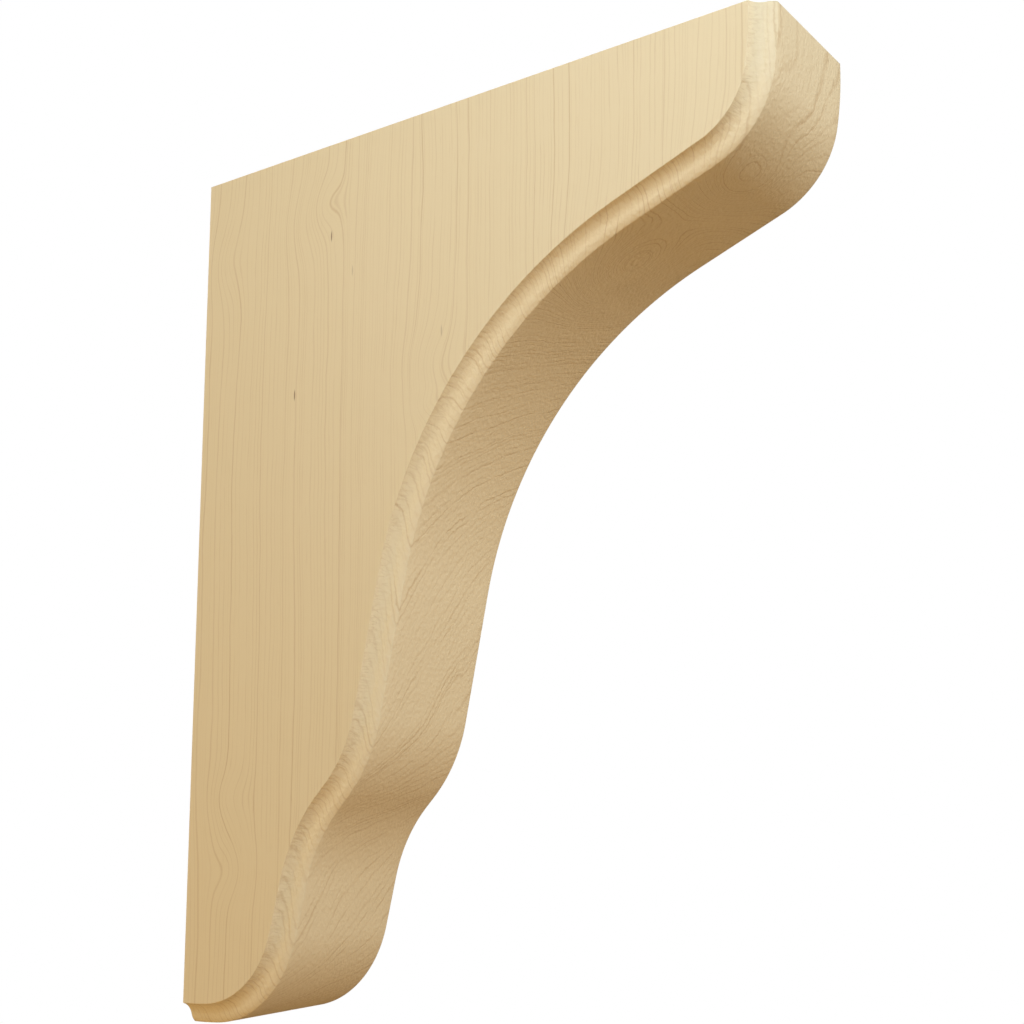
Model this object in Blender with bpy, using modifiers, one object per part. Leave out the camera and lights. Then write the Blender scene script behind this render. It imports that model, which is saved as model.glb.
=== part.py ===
"""Wooden corbel bracket: one block of hardwood, sawn to a scrolled outline and moulded on both front edges.

Metres. The origin is the middle of the back, the face that meets the wall. +X points out from the wall,
+Y runs across the width and +Z points up. Angles are in degrees.
"""
from math import acos, ceil, cos, degrees, dist, radians, sin

import bmesh
import bpy
from mathutils import Matrix

MM = 0.001

# The block
HEIGHT = 254 * MM
PROJECTION = 194 * MM
WIDTH = 48 * MM

# The scrolled front, from the shelf down to the wall. An angle is the slope that a stretch ends at:
# 0 is straight down, 90 is straight in towards the wall.
BROW_RADIUS = 97 * MM
BROW_ANGLE = 10.6
NOSE_RADIUS = 26.7 * MM
NOSE_ANGLE = 69.2
UNDERSIDE_LENGTH = 26.5 * MM
THROAT_RADIUS = 118.3 * MM
THROAT_ANGLE = 12.5
STEM_LENGTH = 38.3 * MM
KNEE_RADIUS = 43.9 * MM
KNEE_ANGLE = 45
WAIST_LENGTH = 3.6 * MM
HOLLOW_RADIUS = 44.5 * MM
HOLLOW_ANGLE = 14.2
SHANK_LENGTH = 14.5 * MM
TOE_RADIUS = 33.3 * MM
TOE_ANGLE = 85
FOOT_RADIUS = 112 * MM
FOOT_ANGLE = 90

# The moulded edge: a cove beside the flat face, then a bead that meets the front in a crisp arris.
# An angle is the slope to the flat face.
EDGE_REACH = 5.6 * MM
EDGE_DEPTH = 4.8 * MM
COVE_RADIUS = 4.8 * MM
COVE_START_ANGLE = 75
COVE_ANGLE = 15
BEAD_RADIUS = 4.35 * MM
BEAD_ANGLE = 50

# How far a facet may leave its arc, and how far the cutter stands clear of the wood
OUTLINE_SAG = 0.02 * MM
EDGE_SAG = 0.01 * MM
CLEARANCE = 3 * MM
WELD = 0.005 * MM
SHARP_ANGLE = 22

MAPLE_COLOUR = (0.66, 0.53, 0.31, 1.0)
MAPLE_ROUGHNESS = 0.55


class Chain:
    """A line of smoothly joined arcs and straights, drawn from (0, 0) with its slope in degrees."""

    def __init__(self, angle, sag):
        self.points = [(0.0, 0.0)]
        self.angle = angle
        self.sag = sag

    def straight(self, length):
        along, across = self.points[-1]
        slope = radians(self.angle)
        self.points.append((along + length * cos(slope), across + length * sin(slope)))

    def arc(self, radius, end_angle):
        along, across = self.points[-1]
        turn = end_angle - self.angle
        facet = degrees(2 * acos(1 - self.sag / radius))
        steps = ceil(abs(turn) / facet)
        reach = radius if turn > 0 else -radius
        start = radians(self.angle)
        for step in range(1, steps + 1):
            slope = radians(self.angle + turn * step / steps)
            further = reach * (sin(slope) - sin(start))
            inward = reach * (cos(start) - cos(slope))
            self.points.append((along + further, across + inward))
        self.angle = end_angle

    def fitted(self, length, rise):
        """The points, stretched so that the chain ends exactly at (length, rise)."""
        along, across = self.points[-1]
        return [(a * length / along, c * rise / across) for a, c in self.points]


def front_outline():
    """The scrolled front as (x, z) points, from the shelf down to the wall."""
    chain = Chain(0, OUTLINE_SAG)
    chain.arc(BROW_RADIUS, BROW_ANGLE)
    chain.arc(NOSE_RADIUS, NOSE_ANGLE)
    chain.straight(UNDERSIDE_LENGTH)
    chain.arc(THROAT_RADIUS, THROAT_ANGLE)
    chain.straight(STEM_LENGTH)
    chain.arc(KNEE_RADIUS, KNEE_ANGLE)
    chain.straight(WAIST_LENGTH)
    chain.arc(HOLLOW_RADIUS, HOLLOW_ANGLE)
    chain.straight(SHANK_LENGTH)
    chain.arc(TOE_RADIUS, TOE_ANGLE)
    chain.arc(FOOT_RADIUS, FOOT_ANGLE)
    return [(PROJECTION - back, HEIGHT / 2 - down) for down, back in chain.fitted(HEIGHT, PROJECTION)]


def carried_on(start, end, distance):
    """The point that lies distance past end on the line from start."""
    span = dist(start, end)
    return tuple(e + (e - s) * distance / span for s, e in zip(start, end))


def edge_section():
    """The wood that the edge moulding takes away, as points round its section.

    The first number is the distance in from the front, and the second the height over the flat side face.
    The moulding's two ends are carried on past those faces, so that the cutter passes through them.
    """
    chain = Chain(COVE_START_ANGLE, EDGE_SAG)
    chain.arc(COVE_RADIUS, COVE_ANGLE)
    chain.arc(BEAD_RADIUS, BEAD_ANGLE)
    moulding = [(EDGE_REACH - out, -inward) for out, inward in chain.fitted(EDGE_REACH, EDGE_DEPTH)]
    lead_in = carried_on(moulding[1], moulding[0], CLEARANCE)
    lead_out = carried_on(moulding[-2], moulding[-1], CLEARANCE)
    return [lead_in] + moulding[1:-1] + [lead_out, (lead_out[0], lead_in[1])]


def new_collection(name):
    collection = bpy.data.collections.new(name)
    bpy.context.scene.collection.children.link(collection)
    return collection


def flat_curve(name, points, cyclic):
    curve = bpy.data.curves.new(name, "CURVE")
    curve.dimensions = "2D"
    spline = curve.splines.new("POLY")
    spline.points.add(len(points) - 1)
    for point, (x, y) in zip(spline.points, points):
        point.co = (x, y, 0, 1)
    spline.use_cyclic_u = cyclic
    return curve


def evaluated_mesh(drawn):
    """The object's mesh as its curve or its modifiers make it."""
    bpy.context.view_layer.update()
    return bpy.data.meshes.new_from_object(drawn.evaluated_get(bpy.context.evaluated_depsgraph_get()))


def weld(mesh):
    """Join points that coincide, such as a cap's with its wall's."""
    solid = bmesh.new()
    solid.from_mesh(mesh)
    bmesh.ops.remove_doubles(solid, verts=solid.verts, dist=WELD)
    bmesh.ops.recalc_face_normals(solid, faces=solid.faces)
    solid.to_mesh(mesh)
    solid.free()


def mesh_object(name, curve, collection):
    """The curve stood up in the XZ plane, as a closed mesh object."""
    drawn = bpy.data.objects.new(name, curve)
    collection.objects.link(drawn)
    mesh = evaluated_mesh(drawn)
    bpy.data.objects.remove(drawn)
    mesh.transform(Matrix.Rotation(radians(90), 4, "X"))
    weld(mesh)
    part = bpy.data.objects.new(name, mesh)
    collection.objects.link(part)
    return part


def sawn_block(collection):
    """The block, sawn through to the outline."""
    back = [(0, -HEIGHT / 2), (0, HEIGHT / 2)]
    outline = front_outline()
    curve = flat_curve("corbel_bracket", outline[:-1] + back, True)
    curve.fill_mode = "BOTH"
    curve.extrude = WIDTH / 2
    return mesh_object("corbel_bracket", curve, collection)


def edge_cutter(collection):
    """The path of the moulding cutter along the near front edge, and its mirror image along the far one."""
    outline = front_outline()
    above = (PROJECTION, HEIGHT / 2 + CLEARANCE)
    behind = (-CLEARANCE, outline[-1][1])
    section = bpy.data.objects.new("edge_section", flat_curve("edge_section", edge_section(), True))
    collection.objects.link(section)
    path = flat_curve("edge_cutter", [above] + outline + [behind], False)
    path.bevel_mode = "OBJECT"
    path.bevel_object = section
    path.use_fill_caps = True
    cutter = mesh_object("edge_cutter", path, collection)
    bpy.data.objects.remove(section)
    cutter.data.transform(Matrix.Translation((0, -WIDTH / 2, 0)))
    mirror = cutter.modifiers.new("Far edge", "MIRROR")
    mirror.use_axis = (False, True, False)
    mirror.use_mirror_merge = False
    cutter.hide_render = True
    cutter.display_type = "WIRE"
    return cutter


def mould_edges(block, cutter):
    """Take the cutter's path out of the block, and shade it smooth between its arrises."""
    cut = block.modifiers.new("Moulded edges", "BOOLEAN")
    cut.object = cutter
    cut.operation = "DIFFERENCE"
    cut.solver = "EXACT"
    block.data = evaluated_mesh(block)
    block.modifiers.remove(cut)
    weld(block.data)
    block.data.shade_smooth()
    block.data.set_sharp_from_angle(angle=radians(SHARP_ANGLE))


def maple():
    material = bpy.data.materials.new("maple")
    material.use_nodes = True
    shader = material.node_tree.nodes["Principled BSDF"]
    shader.inputs["Base Color"].default_value = MAPLE_COLOUR
    shader.inputs["Roughness"].default_value = MAPLE_ROUGHNESS
    shader.inputs["Metallic"].default_value = 0.0
    return material


for old in list(bpy.data.objects):
    bpy.data.objects.remove(old)

bracket = sawn_block(new_collection("corbel_bracket"))
mould_edges(bracket, edge_cutter(new_collection("cutters")))
bracket.data.materials.clear()
bracket.data.materials.append(maple())
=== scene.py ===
"""The wooden corbel bracket: one block of pale maple with a scrolled front and moulded front edges."""
from math import acos, ceil, cos, dist, radians, sin

import bmesh
import bpy
from mathutils import Matrix, Vector


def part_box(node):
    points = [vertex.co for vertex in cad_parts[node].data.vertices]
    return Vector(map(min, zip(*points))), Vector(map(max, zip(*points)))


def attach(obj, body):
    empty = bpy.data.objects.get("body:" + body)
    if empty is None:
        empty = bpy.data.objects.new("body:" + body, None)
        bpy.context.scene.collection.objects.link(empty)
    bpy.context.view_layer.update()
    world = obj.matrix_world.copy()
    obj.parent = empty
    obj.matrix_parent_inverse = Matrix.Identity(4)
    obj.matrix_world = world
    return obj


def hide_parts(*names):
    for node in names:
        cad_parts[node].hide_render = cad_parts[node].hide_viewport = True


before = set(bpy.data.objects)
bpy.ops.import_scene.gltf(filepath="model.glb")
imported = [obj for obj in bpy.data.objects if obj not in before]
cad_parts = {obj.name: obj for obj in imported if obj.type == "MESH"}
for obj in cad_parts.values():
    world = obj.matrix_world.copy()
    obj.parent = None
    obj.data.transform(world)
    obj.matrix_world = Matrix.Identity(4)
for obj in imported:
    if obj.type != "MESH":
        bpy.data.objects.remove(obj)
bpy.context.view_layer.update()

# The camera: a long lens in front of the bracket's near side and a little below its middle, looking up at it.
# It stands as near as the photographer's did, so the bracket narrows away from it by as much.
MM = 0.001
CAMERA_PLACE = (326.2 * MM, -318.87 * MM, -60.81 * MM)
CAMERA_TURN = 35.391
CAMERA_TILT = 100.787
CAMERA_ROLL = -0.389
LENS_LENGTH = 50.404
SENSOR_WIDTH = 36
NEAREST_SEEN = 10 * MM

lens = bpy.data.cameras.new("camera")
lens.lens = LENS_LENGTH
lens.sensor_width = SENSOR_WIDTH
lens.clip_start = NEAREST_SEEN
camera = bpy.data.objects.new("camera", lens)
camera.matrix_world = (
    Matrix.Translation(CAMERA_PLACE)
    @ Matrix.Rotation(radians(CAMERA_TURN), 4, "Z")
    @ Matrix.Rotation(radians(CAMERA_TILT), 4, "X")
    @ Matrix.Rotation(radians(CAMERA_ROLL), 4, "Z")
)
bpy.context.scene.collection.objects.link(camera)
bpy.context.scene.camera = camera

# The bracket: one block of maple with its grain upright, band-sawn to a scrolled front and sanded.
# A router bit run along both front edges leaves a cove beside the flat face and a bead at the arris.
# It is fixed through its back, which stands against the wall.
block_bottom, block_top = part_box("corbel_bracket")
HEIGHT = block_top.z - block_bottom.z
PROJECTION = block_top.x - block_bottom.x
WIDTH = block_top.y - block_bottom.y

# The scrolled front from the shelf down to the wall: arcs as (radius, end slope), straights as a length.
# A slope of 0 is straight down and 90 is straight in towards the wall.
BROW = (97 * MM, 10.6)
NOSE = (26.7 * MM, 69.2)
UNDERSIDE = 26.5 * MM
THROAT = (118.3 * MM, 12.5)
STEM = 38.3 * MM
KNEE = (43.9 * MM, 45)
WAIST = 3.6 * MM
HOLLOW = (44.5 * MM, 14.2)
SHANK = 14.5 * MM
TOE = (33.3 * MM, 85)
FOOT = (112 * MM, 90)

# The moulded edge, with its slopes to the flat face
EDGE_REACH = 5.6 * MM
EDGE_DEPTH = 4.8 * MM
COVE_START = 75
COVE = (4.8 * MM, 15)
BEAD = (4.35 * MM, 50)

# How finely the front is drawn, across its flat middle and down its length
FACET_SAG = 0.002 * MM
FRONT_PARTS = 12
FRONT_STEP = 0.33 * MM


def turned(start_slope, stretches):
    """A line of arcs and straights, as points (along, across) from (0, 0)."""
    points = [(0.0, 0.0)]
    slope = radians(start_slope)
    for stretch in stretches:
        along, across = points[-1]
        if isinstance(stretch, float):
            points.append((along + stretch * cos(slope), across + stretch * sin(slope)))
            continue
        radius, end_slope = stretch[0], radians(stretch[1])
        steps = ceil(abs(end_slope - slope) / (2 * acos(1 - FACET_SAG / radius)))
        reach = radius if end_slope > slope else -radius
        for step in range(1, steps + 1):
            here = slope + (end_slope - slope) * step / steps
            points.append((
                along + reach * (sin(here) - sin(slope)),
                across + reach * (cos(slope) - cos(here)),
            ))
        slope = end_slope
    return points


def fitted(points, length, rise):
    """The points, stretched to end exactly at (length, rise)."""
    along, across = points[-1]
    return [(a * length / along, c * rise / across) for a, c in points]


def drawn_line(name, points):
    """An open flat line for the sweep to read."""
    line = bpy.data.curves.new(name, "CURVE")
    line.dimensions = "2D"
    spline = line.splines.new("POLY")
    spline.points.add(len(points) - 1)
    for point, (x, y) in zip(spline.points, points):
        point.co = (x, y, 0, 1)
    drawn = bpy.data.objects.new(name, line)
    bpy.context.scene.collection.objects.link(drawn)
    return drawn


front = fitted(
    turned(0, [BROW, NOSE, UNDERSIDE, THROAT, STEM, KNEE, WAIST, HOLLOW, SHANK, TOE, FOOT]),
    HEIGHT, PROJECTION,
)
front_line = drawn_line("front_line", [(PROJECTION - back, HEIGHT / 2 - down) for down, back in front])

moulding = fitted(turned(COVE_START, [COVE, BEAD]), EDGE_REACH, EDGE_DEPTH)
near_edge = [(EDGE_REACH - out, inward - WIDTH / 2) for out, inward in moulding]
far_edge = [(back, -across) for back, across in reversed(near_edge)]
arris = near_edge[-1][1]
flat_front = [(0.0, arris - 2 * arris * part / FRONT_PARTS) for part in range(1, FRONT_PARTS)]
section = near_edge + flat_front + far_edge
section_line = drawn_line("section_line", section)
SECTION_LENGTH = sum(dist(here, there) for here, there in zip(section, section[1:]))


class Tree:
    """A node tree, with one short call for a node and what it is fed."""

    def __init__(self, tree):
        self.tree = tree

    def node(self, kind, settings=(), **fed):
        """A new node. What it is fed is named after its sockets, or _0, _1 and so on by their order."""
        made = self.tree.nodes.new(kind)
        for name, value in dict(settings).items():
            setattr(made, name, value)
        for name, value in fed.items():
            self.feed(made, name, value)
        return made

    def feed(self, node, name, value):
        """Link a socket's value, or set it where the value is plain."""
        socket = node.inputs[int(name[1:])] if name[0] == "_" else node.inputs[name.replace("_", " ")]
        if isinstance(value, bpy.types.NodeSocket):
            self.tree.links.new(value, socket)
        else:
            socket.default_value = value

    def math(self, operation, *values, clamp=False):
        made = self.node("ShaderNodeMath", {"operation": operation, "use_clamp": clamp})
        for place, value in enumerate(values):
            self.feed(made, f"_{place}", value)
        return made.outputs[0]

    def vector(self, operation, *values, answer="Vector", **fed):
        made = self.node("ShaderNodeVectorMath", {"operation": operation}, **fed)
        for place, value in enumerate(values):
            self.feed(made, f"_{place}", value)
        return made.outputs[answer]

    def noise(self, coordinate, size, stretch=(1, 1, 1), detail=2.0):
        """Noise from -1 to 1 whose blobs are about size millimetres across, drawn out by stretch."""
        placed = self.vector("MULTIPLY", coordinate, tuple(1 / (size * s) for s in stretch))
        made = self.node("ShaderNodeTexNoise", Vector=placed, Scale=1.0, Detail=detail)
        return self.math("MULTIPLY_ADD", made.outputs[0], 2.0, -1.0)

    def ramp(self, value, low, high, low_out=0.0, high_out=1.0):
        """A smooth step from low_out to high_out as the value goes from low to high."""
        made = self.node(
            "ShaderNodeMapRange", {"interpolation_type": "SMOOTHSTEP"},
            Value=value, From_Min=low, From_Max=high, To_Min=low_out, To_Max=high_out,
        )
        return made.outputs[0]


# The ripples that the cutter leaves across the cove. Where they rise and fall is a share of their reach.
RIPPLE_PITCH = 0.9 * MM
RIPPLE_HEIGHT = 0.012 * MM
RIPPLE_REACH = 5.2 * MM
RIPPLE_LENGTHS = 3.0
RIPPLE_RISE = (0.05, 0.25)
RIPPLE_FALL = (0.45, 1.0)
RIPPLE_CREST = (0.3, 0.7)


def sweep_tree():
    """Draws the section down the front line, ripples its coves, keeps it inside the block and stands it up."""
    group = bpy.data.node_groups.new("moulded_front", "GeometryNodeTree")
    group.interface.new_socket("Geometry", in_out="OUTPUT", socket_type="NodeSocketGeometry")
    for name, kind in (
        ("Geometry", "NodeSocketGeometry"), ("Front line", "NodeSocketObject"), ("Section", "NodeSocketObject"),
        ("Front step", "NodeSocketFloat"), ("Lowest", "NodeSocketVector"), ("Highest", "NodeSocketVector"),
        ("Wood", "NodeSocketMaterial"), ("Ripple pitch", "NodeSocketFloat"),
        ("Ripple height", "NodeSocketFloat"), ("Ripple reach", "NodeSocketFloat"),
        ("Section length", "NodeSocketFloat"),
    ):
        group.interface.new_socket(name, in_out="INPUT", socket_type=kind)
    t = Tree(group)
    given = t.node("NodeGroupInput").outputs

    def upright_line(source):
        drawn = t.node("GeometryNodeObjectInfo", Object=source).outputs["Geometry"]
        return t.node("GeometryNodeSetCurveNormal", {"mode": "Z_UP"}, Curve=drawn).outputs[0]

    def stored(attribute):
        return t.node("GeometryNodeInputNamedAttribute", {"data_type": "FLOAT"}, Name=attribute).outputs[0]

    def with_stored(geometry, attribute, value, domain="POINT"):
        return t.node(
            "GeometryNodeStoreNamedAttribute", {"data_type": "FLOAT", "domain": domain},
            Geometry=geometry, Name=attribute, Value=value,
        ).outputs[0]

    def measured(line, attribute):
        return with_stored(line, attribute, t.node("GeometryNodeSplineParameter").outputs["Length"])

    even_line = t.node(
        "GeometryNodeResampleCurve", {"mode": "LENGTH"},
        Curve=upright_line(given["Front line"]), Length=given["Front step"],
    ).outputs[0]
    swept = t.node(
        "GeometryNodeCurveToMesh", Curve=measured(even_line, "along"),
        Profile_Curve=measured(upright_line(given["Section"]), "across"),
    ).outputs[0]
    marked = with_stored(swept, "moulded", 1.0, "FACE")
    stood = t.node("GeometryNodeTransform", Geometry=marked, Rotation=(radians(90), 0, 0)).outputs[0]

    across = stored("across")
    from_edge = t.math("MINIMUM", across, t.math("SUBTRACT", given["Section length"], across))
    from_edge = t.math("DIVIDE", from_edge, given["Ripple reach"])
    spacing = t.node(
        "ShaderNodeCombineXYZ", X=t.math("DIVIDE", stored("along"), given["Ripple pitch"]),
        Y=t.math("DIVIDE", across, t.math("MULTIPLY", given["Ripple pitch"], RIPPLE_LENGTHS)),
    ).outputs[0]
    wave = t.node("ShaderNodeTexNoise", {"noise_dimensions": "2D"}, Scale=1.0, Detail=1.0, Vector=spacing)
    wave = t.ramp(wave.outputs[0], *RIPPLE_CREST, -1.0, 1.0)
    chatter = t.math("MULTIPLY", t.ramp(from_edge, *RIPPLE_RISE), t.ramp(from_edge, *RIPPLE_FALL, 1.0, 0.0))
    rippled = with_stored(stood, "chatter", t.math("MULTIPLY", chatter, wave))
    outward = t.vector(
        "SCALE", t.node("GeometryNodeInputNormal").outputs[0],
        Scale=t.math("MULTIPLY", stored("chatter"), given["Ripple height"]),
    )
    rippled = t.node("GeometryNodeSetPosition", Geometry=rippled, Offset=outward).outputs[0]

    above_lowest = t.vector("MAXIMUM", t.node("GeometryNodeInputPosition").outputs[0], given["Lowest"])
    inside = t.vector("MINIMUM", above_lowest, given["Highest"])
    flush = t.node("GeometryNodeSetPosition", Geometry=rippled, Position=inside).outputs[0]
    real = t.node("GeometryNodeRealizeInstances", Geometry=flush).outputs[0]
    finished = t.node("GeometryNodeSetMaterial", Geometry=real, Material=given["Wood"]).outputs[0]
    t.node("NodeGroupOutput", Geometry=finished)
    return group


# The growth rings, in millimetres. The pith is far behind the far side, so a ring crosses the block nearly
# square to its front. It wanders by noise, as (size, stretch, how far), and bulges at the swirls, which show
# as loops, as (centre, reach, how far).
PITH = (-150, 75)
WANDERS = (
    (55, (1, 1, 3), 4.0),
    (16, (1, 1, 3), 1.3),
    (5, (1, 1, 3), 0.35),
)
SWIRLS = (
    ((140, -2, 75), (15, 14, 15), 30),
    ((176, -6, 89), (11, 13, 11), 17),
    ((50, -24, 109), (6, 8, 8), 4.6),
    ((40, -24, 104), (8, 8, 12), 3.5),
    ((8, -24, 100), (8, 8, 12), 4.5),
    ((90, -24, 52), (9, 9, 10), 4.6),
    ((88, -24, 41), (5, 8, 4), 3),
    ((16, -24, -64), (7, 9, 7), 3.6),
    ((18, -24, -84), (8, 9, 8), -5),
    ((60, 24, 20), (9, 8, 14), 6),
    ((96, 24, 84), (10, 8, 12), 6),
)
RAGGED_GRAIN = (1.5, (1, 1, 1.3))
RAGGED_REACH = (0.08, 0.28)

# The lines at the rings: (pitch, width, least strength) in millimetres. Each fades in patches, as (size,
# stretch, noise below and above which it is faintest and full, how much stays where it is faintest).
FINE_LINES = (1.2, 0.24, 0.2)
FINE_PATCHES = (7, (1, 1, 2), -0.45, 0.2, 0.2)
STRONG_LINES = (4.6, 0.26, 0.05)
STRONG_PATCHES = (26, (0.3, 0.3, 3), -0.6, 0.6, 0.3)
LINES_ALIKE = 1.7
STRENGTH_SPREAD = (0.35, 0.65)

# The short pores along the grain, the slow clouds of tone, the torn grain of the moulded front and the
# scores that the cutter leaves across the cove, each as (size, stretch, detail) with its limits
PORE_GRAIN = (0.45, (1, 1, 14), 1.0)
PORE_LIMITS = (0.25, 0.7)
CLOUD_GRAIN = (24, (1, 1, 3), 2.0)
TORN_GRAIN = (1.0, (1, 1, 1.3), 1.0)
SCORE_GRAIN = (1.3, (1, 3.5, 1), 1.0)
SCORE_WIDTH = 0.14
SCORED_FROM = 0.25

# How much each darkens the wood, and how high it stands as a share of the relief, both as (on the flat faces,
# on the moulded front)
BARE_TONE = (0.05, 0.0)
DARKENS = {
    "fine": (0.22, 0.38), "strong": (0.52, 0.32), "pores": (0.09, 0.09),
    "torn": (0.07, 0.07), "scores": (0.16, 0.16), "cloud": (0.03, 0.03),
}
STANDS = {
    "fine": (-0.35, -1.0), "strong": (-0.6, -0.6), "pores": (-0.25, -0.25),
    "torn": (1.9, 1.9), "scores": (-0.8, -0.8),
}
RELIEF = 0.05 * MM

# The pin flecks of the near face, as (place, strength), in millimetres
FLECKS = (
    ((52.3, -24, 98.1), 0.8),
    ((38.7, -24, 52.0), 0.8),
    ((60.7, -24, 85.7), 0.25),
    ((93.5, -24, 61.2), 0.3),
)
FLECK_REACH = (0.35, 1, 2.2)
FLECK_CORE = 0.3

MAPLE_PALE = (0.750, 0.674, 0.415, 1)
MAPLE_LINE = (0.47, 0.33, 0.145, 1)
MAPLE_FLECK = (0.17, 0.10, 0.05, 1)
MAPLE_ROUGHNESS = (0.48, 0.62)
MAPLE_GLOSS = 0.12


def ring_distance(t, place):
    """How far a point lies from the pith, with the wander and the swirls of real growth rings."""
    axes = t.node("ShaderNodeSeparateXYZ", _0=place).outputs
    out = t.math("SUBTRACT", axes[0], PITH[0])
    over = t.math("SUBTRACT", axes[1], PITH[1])
    rings = t.math("SQRT", t.math("ADD", t.math("MULTIPLY", out, out), t.math("MULTIPLY", over, over)))
    for size, stretch, wander in WANDERS:
        rings = t.math("MULTIPLY_ADD", t.noise(place, size, stretch), wander, rings)
    for centre, reach, bulge in SWIRLS:
        away = t.vector("DIVIDE", t.vector("SUBTRACT", place, centre), reach)
        squared = t.vector("DOT_PRODUCT", away, away, answer="Value")
        near = t.math("EXPONENT", t.math("MULTIPLY", squared, -1.0))
        rings = t.math("MULTIPLY_ADD", near, float(bulge), rings)
    return rings


def maple():
    """Pale sanded maple: fine growth lines, short pores, slow changes of tone and a few pin flecks."""
    wood = bpy.data.materials.new("maple")
    wood.use_nodes = True
    wood.node_tree.nodes.clear()
    t = Tree(wood.node_tree)
    place = t.vector("SCALE", t.node("ShaderNodeTexCoord").outputs["Object"], Scale=1 / MM)

    def stored(attribute):
        return t.node("ShaderNodeAttribute", {"attribute_name": attribute}).outputs["Fac"]

    moulded = stored("moulded")

    def by_face(flat, front):
        """One value on the flat faces and another on the moulded front."""
        return flat if flat == front else t.math("MULTIPLY_ADD", moulded, front - flat, flat)

    ragged = t.math("MULTIPLY", t.noise(place, *RAGGED_GRAIN), by_face(*RAGGED_REACH))
    rings = t.math("ADD", ring_distance(t, place), ragged)

    def growth_lines(pitch, width, faint, patches):
        """Thin lines with chance gaps between them, each of its own strength, which fade in patches."""
        gap = t.node(
            "ShaderNodeTexVoronoi", {"voronoi_dimensions": "1D", "feature": "DISTANCE_TO_EDGE"},
            W=t.math("DIVIDE", rings, pitch), Scale=1.0, Randomness=1.0,
        ).outputs["Distance"]
        alike = t.node(
            "ShaderNodeTexNoise", {"noise_dimensions": "1D"},
            W=t.math("DIVIDE", rings, pitch * LINES_ALIKE), Scale=1.0, Detail=1.0,
        ).outputs[0]
        strength = t.ramp(alike, *STRENGTH_SPREAD, faint, 1.0)
        lines = t.math("MULTIPLY", t.ramp(gap, 0.0, width / pitch, 1.0, 0.0), strength)
        size, stretch, low, high, least = patches
        return t.math("MULTIPLY", lines, t.ramp(t.noise(place, size, stretch), low, high, least, 1.0))

    along, across = stored("along"), stored("across")
    from_edge = t.math("MINIMUM", across, t.math("SUBTRACT", SECTION_LENGTH, across))
    cove = t.math("MULTIPLY", moulded, t.ramp(from_edge, RIPPLE_REACH * SCORED_FROM, RIPPLE_REACH, 1.0, 0.0))
    on_front = t.node("ShaderNodeCombineXYZ", X=along, Y=across).outputs[0]
    score = t.math("ABSOLUTE", t.noise(t.vector("SCALE", on_front, Scale=1 / MM), *SCORE_GRAIN))

    grain = {
        "fine": growth_lines(*FINE_LINES, FINE_PATCHES),
        "strong": growth_lines(*STRONG_LINES, STRONG_PATCHES),
        "pores": t.ramp(t.noise(place, *PORE_GRAIN), *PORE_LIMITS),
        "torn": t.math("MULTIPLY", moulded, t.noise(place, *TORN_GRAIN)),
        "scores": t.math("MULTIPLY", t.ramp(score, 0.0, SCORE_WIDTH, 1.0, 0.0), cove),
        "cloud": t.noise(place, *CLOUD_GRAIN),
    }
    dark = by_face(*BARE_TONE)
    for name, weights in DARKENS.items():
        dark = t.math("MULTIPLY_ADD", grain[name], by_face(*weights), dark)
    dark = t.math("ADD", dark, 0.0, clamp=True)
    relief = 0.0
    for name, weights in STANDS.items():
        relief = t.math("MULTIPLY_ADD", grain[name], by_face(*weights), relief)

    def mixed(share, under, over):
        return t.node("ShaderNodeMix", {"data_type": "RGBA"}, _0=share, _6=under, _7=over).outputs[2]

    colour = mixed(dark, MAPLE_PALE, MAPLE_LINE)
    for fleck, strength in FLECKS:
        away = t.vector("DIVIDE", t.vector("SUBTRACT", place, fleck), FLECK_REACH)
        spot = t.ramp(t.vector("LENGTH", away, answer="Value"), FLECK_CORE, 1.0, strength, 0.0)
        colour = mixed(spot, colour, MAPLE_FLECK)
    bump = t.node("ShaderNodeBump", Height=relief, Strength=1.0, Distance=RELIEF).outputs[0]
    shader = t.node(
        "ShaderNodeBsdfPrincipled", Base_Color=colour, Normal=bump,
        Roughness=t.ramp(dark, 0.0, 1.0, *MAPLE_ROUGHNESS), Specular_IOR_Level=MAPLE_GLOSS,
    )
    t.node("ShaderNodeOutputMaterial", Surface=shader.outputs[0])
    return wood


def turns_in(vert, open_edges):
    """Whether the open rim leaves a side face at this point."""
    met = [edge for edge in vert.link_edges if edge in open_edges]
    return len(met) == 2 and any(abs(edge.other_vert(vert).co.y - vert.co.y) > FACET_SAG for edge in met)


def lies_at(edge, axis, level):
    return all(abs(getattr(vert.co, axis) - level) < FACET_SAG for vert in edge.verts)


def block_faces(mesh):
    """Closes the swept front with the block's own faces: both sides, the shelf face and the back."""
    block = bmesh.new()
    block.from_mesh(mesh)
    open_edges = {edge for edge in block.edges if edge.is_boundary}
    rim_ends = [vert for vert in block.verts if turns_in(vert, open_edges)]
    corners = [block.verts.new((0, side * WIDTH / 2, HEIGHT / 2)) for side in (-1, 1)]
    block.edges.new(corners)
    for corner in corners:
        for end in rim_ends:
            if abs(end.co.y - corner.co.y) < FACET_SAG:
                block.edges.new((corner, end))
    for axis, level in (("y", -WIDTH / 2), ("y", WIDTH / 2), ("z", HEIGHT / 2), ("x", 0)):
        rim = [edge for edge in block.edges if len(edge.link_faces) < 2 and lies_at(edge, axis, level)]
        for face in bmesh.ops.contextual_create(block, geom=rim)["faces"]:
            face[block.faces.layers.float["moulded"]] = 0.0
    bmesh.ops.recalc_face_normals(block, faces=block.faces)
    block.to_mesh(mesh)
    block.free()


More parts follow.
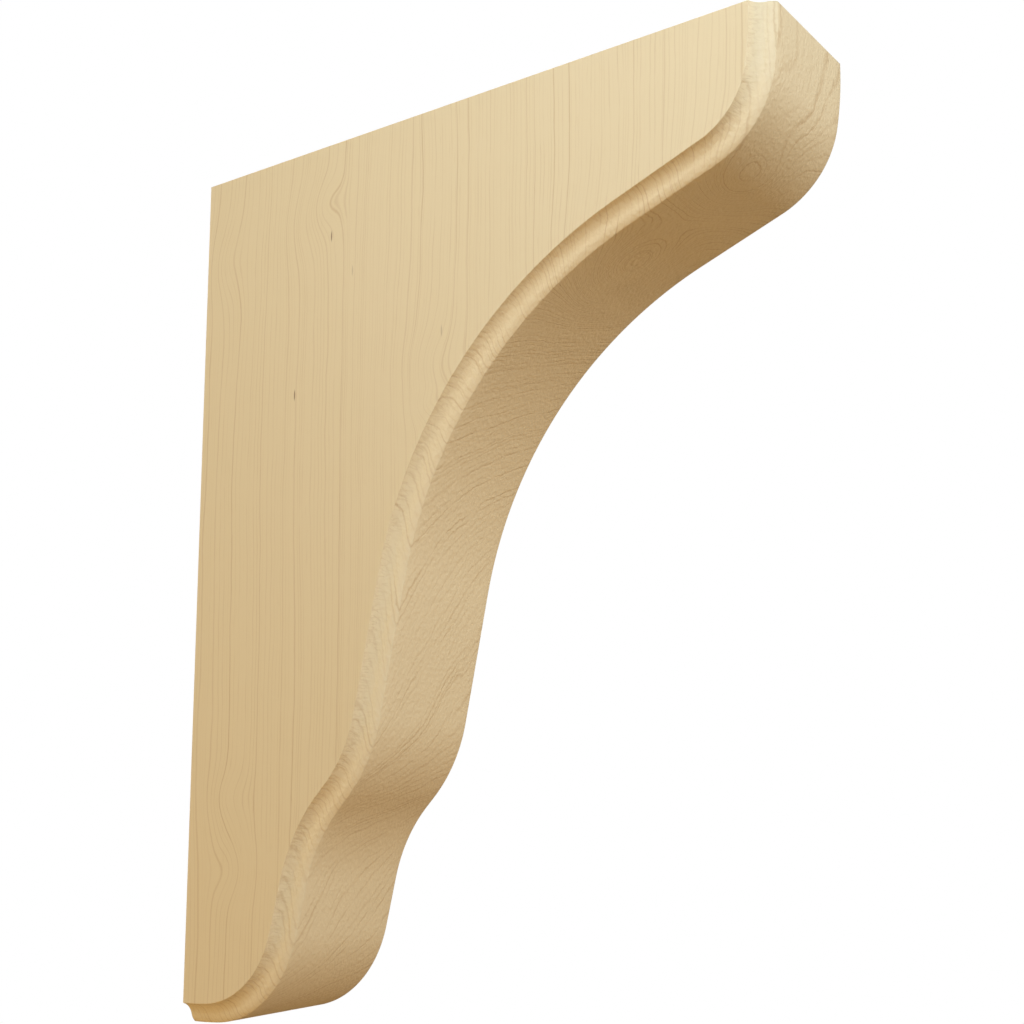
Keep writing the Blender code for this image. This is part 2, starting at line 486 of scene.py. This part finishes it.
def evaluated_mesh(piece):
    """The piece's mesh as its modifiers leave it, with the modifiers gone."""
    bpy.context.view_layer.update()
    made = bpy.data.meshes.new_from_object(piece.evaluated_get(bpy.context.evaluated_depsgraph_get()))
    piece.modifiers.clear()
    return made


# Sanding eases the arrises. Only the block's own faces, which are large, are shaded flat.
EASED_EDGE = 0.12 * MM
EASED_PARTS = 2
EASED_ANGLE = 28
SHARP_ANGLE = 40
LARGEST_SMOOTH = 1000 * MM * MM

bracket = bpy.data.objects.new("bracket", bpy.data.meshes.new("bracket"))
bpy.context.scene.collection.objects.link(bracket)
sweep = bracket.modifiers.new("Sweep", "NODES")
sweep.node_group = sweep_tree()
sizes = {
    "Front line": front_line, "Section": section_line, "Front step": FRONT_STEP,
    "Lowest": block_bottom, "Highest": block_top, "Wood": maple(), "Ripple pitch": RIPPLE_PITCH,
    "Ripple height": RIPPLE_HEIGHT, "Ripple reach": RIPPLE_REACH, "Section length": SECTION_LENGTH,
}
for item in sweep.node_group.interface.items_tree:
    if item.name in sizes:
        sweep[item.identifier] = sizes[item.name]
bracket.data = evaluated_mesh(bracket)
block_faces(bracket.data)
eased = bracket.modifiers.new("Eased edges", "BEVEL")
eased.width = EASED_EDGE
eased.segments = EASED_PARTS
eased.angle_limit = radians(EASED_ANGLE)
bracket.data = evaluated_mesh(bracket)
bracket.data.set_sharp_from_angle(angle=radians(SHARP_ANGLE))
for face in bracket.data.polygons:
    face.use_smooth = face.area < LARGEST_SMOOTH
for line in (front_line, section_line):
    bpy.data.objects.remove(line)
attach(bracket, "root")
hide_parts("corbel_bracket")

# The floor: a plain pale board, round and matt. It lies well below the bracket, which stays up at the height
# where its wall holds it.
FLOOR_DROP = 0.75
FLOOR_RADIUS = 1.0
FLOOR_SIDES = 96
FLOOR_PALE = (0.84, 0.74, 0.60, 1)
FLOOR_ROUGHNESS = 0.8

board = bmesh.new()
bmesh.ops.create_circle(board, cap_ends=True, segments=FLOOR_SIDES, radius=FLOOR_RADIUS)
bmesh.ops.translate(board, verts=board.verts, vec=(PROJECTION / 2, 0, -HEIGHT / 2 - FLOOR_DROP))
floor_mesh = bpy.data.meshes.new("floor")
board.to_mesh(floor_mesh)
board.free()
floor = bpy.data.objects.new("floor", floor_mesh)
bpy.context.scene.collection.objects.link(floor)
pale = bpy.data.materials.new("pale_floor")
pale.use_nodes = True
pale_shader = pale.node_tree.nodes["Principled BSDF"]
pale_shader.inputs["Base Color"].default_value = FLOOR_PALE
pale_shader.inputs["Roughness"].default_value = FLOOR_ROUGHNESS
floor_mesh.materials.append(pale)

# The light: a white backdrop that lights the wood only a little, and soft round lamps that all face it.
# The cool ones stand above the near side, and the warm ones in front and low down, so that the shade on the
# underside is brown. The narrow beams from below, behind and above are weak, because they fall straight on it.
BACKDROP = (1, 1, 1, 1)
ROOM_LIGHT = 0.02
ROOM_TINT = (1, 0.72, 0.45, 1)
LAMPS_FACE = (0.09, -0.02, 0)
WIDE = 180
COOL = (0.91, 1.0, 1.27)
WARM = (1.0, 0.89, 0.85)

# Each lamp's place, size, watts, tint and the spread of its beam in degrees
LAMPS = {
    "key": ((0.35, -0.30, 0.30), 0.25, 1.12, COOL, WIDE),
    "near_left": ((0.00, -0.40, 0.20), 0.25, 0.34, (0.96, 1.0, 1.10), WIDE),
    "front": ((0.83, -1.04, 0.34), 0.8, 3.7, WARM, WIDE),
    "low_left": ((-0.63, -1.01, -0.44), 0.8, 7.7, (1.0, 0.625, 0.275), WIDE),
    "side": ((1.28, 0.37, 0.34), 0.8, 8.4, WARM, WIDE),
    "far_side": ((0.83, 1.00, 0.34), 0.8, 1.2, WARM, WIDE),
    "under": ((0.50, 0.05, -0.60), 0.3, 0.105, (1.0, 0.42, 0.05), 60),
    "back": ((-1.00, 0.90, -0.20), 0.4, 0.32, (1.0, 0.97, 0.94), 20),
    "top": ((-0.20, 0.20, 0.80), 0.3, 0.08, (1.0, 0.95, 0.88), 20),
}

world = bpy.data.worlds.new("studio")
bpy.context.scene.world = world
world.use_nodes = True
world.node_tree.nodes.clear()
w = Tree(world.node_tree)
seen = w.node("ShaderNodeBackground", Color=BACKDROP, Strength=1.0).outputs[0]
lit = w.node("ShaderNodeBackground", Color=ROOM_TINT, Strength=ROOM_LIGHT).outputs[0]
looked_at = w.node("ShaderNodeLightPath").outputs["Is Camera Ray"]
room = w.node("ShaderNodeMixShader", Fac=looked_at, _1=lit, _2=seen).outputs[0]
w.node("ShaderNodeOutputWorld", Surface=room)

for name, (stand, size, watts, tint, spread) in LAMPS.items():
    light = bpy.data.lights.new(name, "AREA")
    light.shape = "DISK"
    light.size = size
    light.spread = radians(spread)
    light.energy = watts
    light.color = tint
    lamp = bpy.data.objects.new(name, light)
    lamp.location = stand
    lamp.rotation_euler = (Vector(LAMPS_FACE) - Vector(stand)).to_track_quat("-Z", "Y").to_euler()
    bpy.context.scene.collection.objects.link(lamp)
bpy.context.scene.view_settings.view_transform = "Standard"
